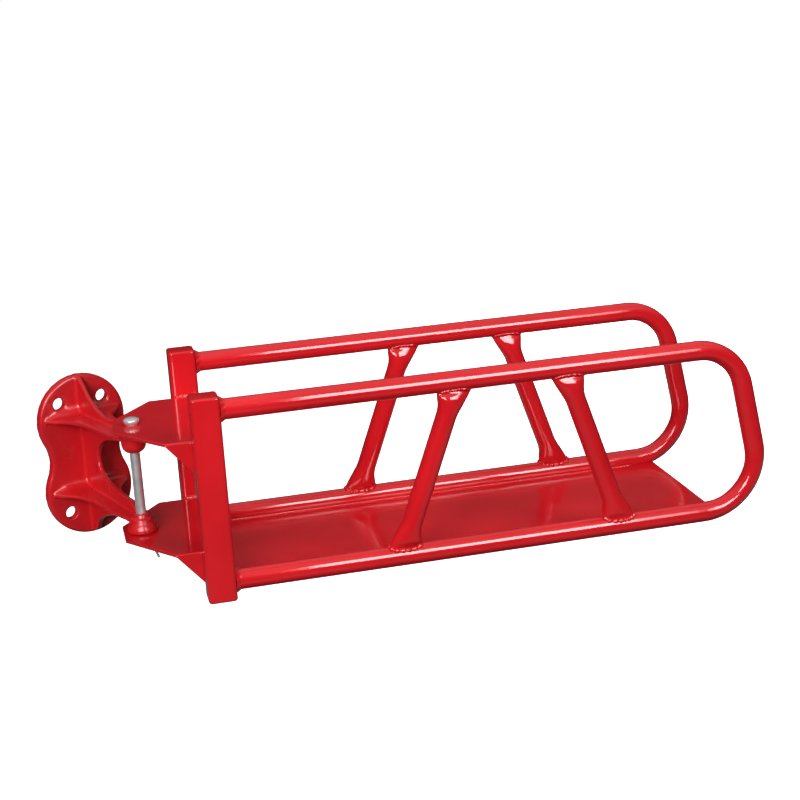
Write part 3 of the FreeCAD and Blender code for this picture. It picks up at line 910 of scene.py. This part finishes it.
def make_world():
    """White to the camera, an even dim grey to matt surfaces, and a room by height in reflections."""
    world = bpy.data.worlds.new("studio")
    bpy.context.scene.world = world
    world.use_nodes = True
    tree = world.node_tree
    tree.nodes.clear()
    direction = tree.nodes.new("ShaderNodeTexCoord").outputs["Generated"]
    split = tree.nodes.new("ShaderNodeSeparateXYZ")
    tree.links.new(direction, split.inputs["Vector"])
    height = range_node(tree, split.outputs["Z"], 0.0, 1.0)
    height.node.inputs["From Min"].default_value = -1.0
    room = ramp_node(tree, height, [(place, (grey,) * 3) for place, grey in ROOM_GREYS])
    path = tree.nodes.new("ShaderNodeLightPath")
    shade = tree.nodes.new("ShaderNodeBackground").outputs["Background"]
    tree.links.new(room, shade.node.inputs["Color"])
    for ray, grey in (("Is Diffuse Ray", AMBIENT), ("Is Camera Ray", 1.0)):
        plain = tree.nodes.new("ShaderNodeBackground")
        plain.inputs["Color"].default_value = (grey, grey, grey, 1.0)
        mix = tree.nodes.new("ShaderNodeMixShader")
        tree.links.new(path.outputs[ray], mix.inputs["Fac"])
        tree.links.new(shade, mix.inputs[1])
        tree.links.new(plain.outputs["Background"], mix.inputs[2])
        shade = mix.outputs["Shader"]
    out = tree.nodes.new("ShaderNodeOutputWorld")
    tree.links.new(shade, out.inputs["Surface"])


def softbox(name, place, target, width, height, watts, matt=True, glossy=True):
    """A rectangular area light at place, in cradle coordinates, that faces target."""
    data = bpy.data.lights.new(name, "AREA")
    data.shape = "RECTANGLE"
    data.size = width
    data.size_y = height
    data.energy = watts
    light = bpy.data.objects.new(name, data)
    bpy.context.scene.collection.objects.link(light)
    start = CRADLE @ Vector(place)
    aim = CRADLE @ Vector(target)
    forward = (aim - start).normalized()
    along = CRADLE.to_3x3() @ Vector((1, 0, 0))
    along = (along - forward * along.dot(forward)).normalized()
    up = along.cross(forward)
    light.matrix_world = Matrix.Translation(start) @ Matrix((along, up, -forward)).transposed().to_4x4()
    light.visible_camera = False
    light.visible_diffuse = matt
    light.visible_glossy = glossy
    return light


def flag_off(light, piece):
    """Keep a piece out of a light, as a black card beside the lamp would."""
    flagged = bpy.data.collections.new(light.name + "_flagged")
    flagged.objects.link(piece)
    light.light_linking.receiver_collection = flagged
    flagged.collection_objects[0].light_linking.link_state = "EXCLUDE"


def toward(middle, azimuth, rise, reach):
    """Point at a reach from middle: azimuth from -y towards +x, rise above the horizon, in degrees."""
    flat = reach * math.cos(math.radians(rise))
    turn = math.radians(azimuth)
    return Vector(middle) + Vector((flat * math.sin(turn), -flat * math.cos(turn),
                                    reach * math.sin(math.radians(rise))))


LAMP_MIDDLE = (0.3, 0, 0)
LAMP_REACH = 3.2
LAMP_SIZE = 1.4
# azimuth and rise in degrees, and watts, of the lamps that light the enamel but aren't mirrored in it
LAMPS = {"key": (-34, 22, 90.0), "side": (-60, 25, 8.0), "overhead": (-34, 85, 25.0),
         "back_fill": (150, 8, 48.0), "right_fill": (35, 40, 50.0)}
# the softboxes stand in one plane, in metres in the cradle's own coordinates
BOX_PLANE_Y = -1.324
BOX_Z = 0.704
BOX_HEIGHT = 0.70
BOX_RADIANCE = 12.4


def mirrored_box(name, x_low, x_high, share=1.0):
    """A softbox that only the gloss sees, so that it draws its strip along every tube."""
    width = x_high - x_low
    watts = BOX_RADIANCE * share * math.pi * width * BOX_HEIGHT
    place = ((x_low + x_high) / 2, BOX_PLANE_Y, BOX_Z)
    softbox(name, place, (place[0], 0, 0), width, BOX_HEIGHT, watts, matt=False)


def make_lights():
    """The lamps, and the softboxes whose mirror images run along the tubes."""
    lamps = {}
    for name, (azimuth, rise, watts) in LAMPS.items():
        place = toward(LAMP_MIDDLE, azimuth, rise, LAMP_REACH)
        lamps[name] = softbox(name, place, LAMP_MIDDLE, LAMP_SIZE, LAMP_SIZE, watts, glossy=False)
    flag_off(lamps["right_fill"], BRACKET)
    mirrored_box("left_box", -1.05, -0.16)
    mirrored_box("right_box", 0.30, 1.02)
    mirrored_box("right_box_edge", 1.02, 1.16, 0.4)


CAMERA_PLACE = Vector((-0.82126, -1.94981, 0.63195))
CAMERA_AZIMUTH = -34.29
CAMERA_ELEVATION = 15.824
CAMERA_ROLL = -3.603
CAMERA_LENS = 74.09


def make_camera():
    """Viewpoint left of the front and a little above, with a slight roll."""
    data = bpy.data.cameras.new("camera")
    data.sensor_width = 36.0
    data.lens = CAMERA_LENS
    camera = bpy.data.objects.new("camera", data)
    bpy.context.scene.collection.objects.link(camera)
    turn = (Matrix.Rotation(math.radians(CAMERA_AZIMUTH), 4, "Z")
            @ Matrix.Rotation(math.radians(90.0 - CAMERA_ELEVATION), 4, "X")
            @ Matrix.Rotation(math.radians(CAMERA_ROLL), 4, "Z"))
    camera.matrix_world = Matrix.Translation(CAMERA_PLACE) @ turn
    bpy.context.scene.camera = camera


make_floor()
make_world()
make_lights()
make_camera()
bpy.context.scene.view_settings.view_transform = "Standard"
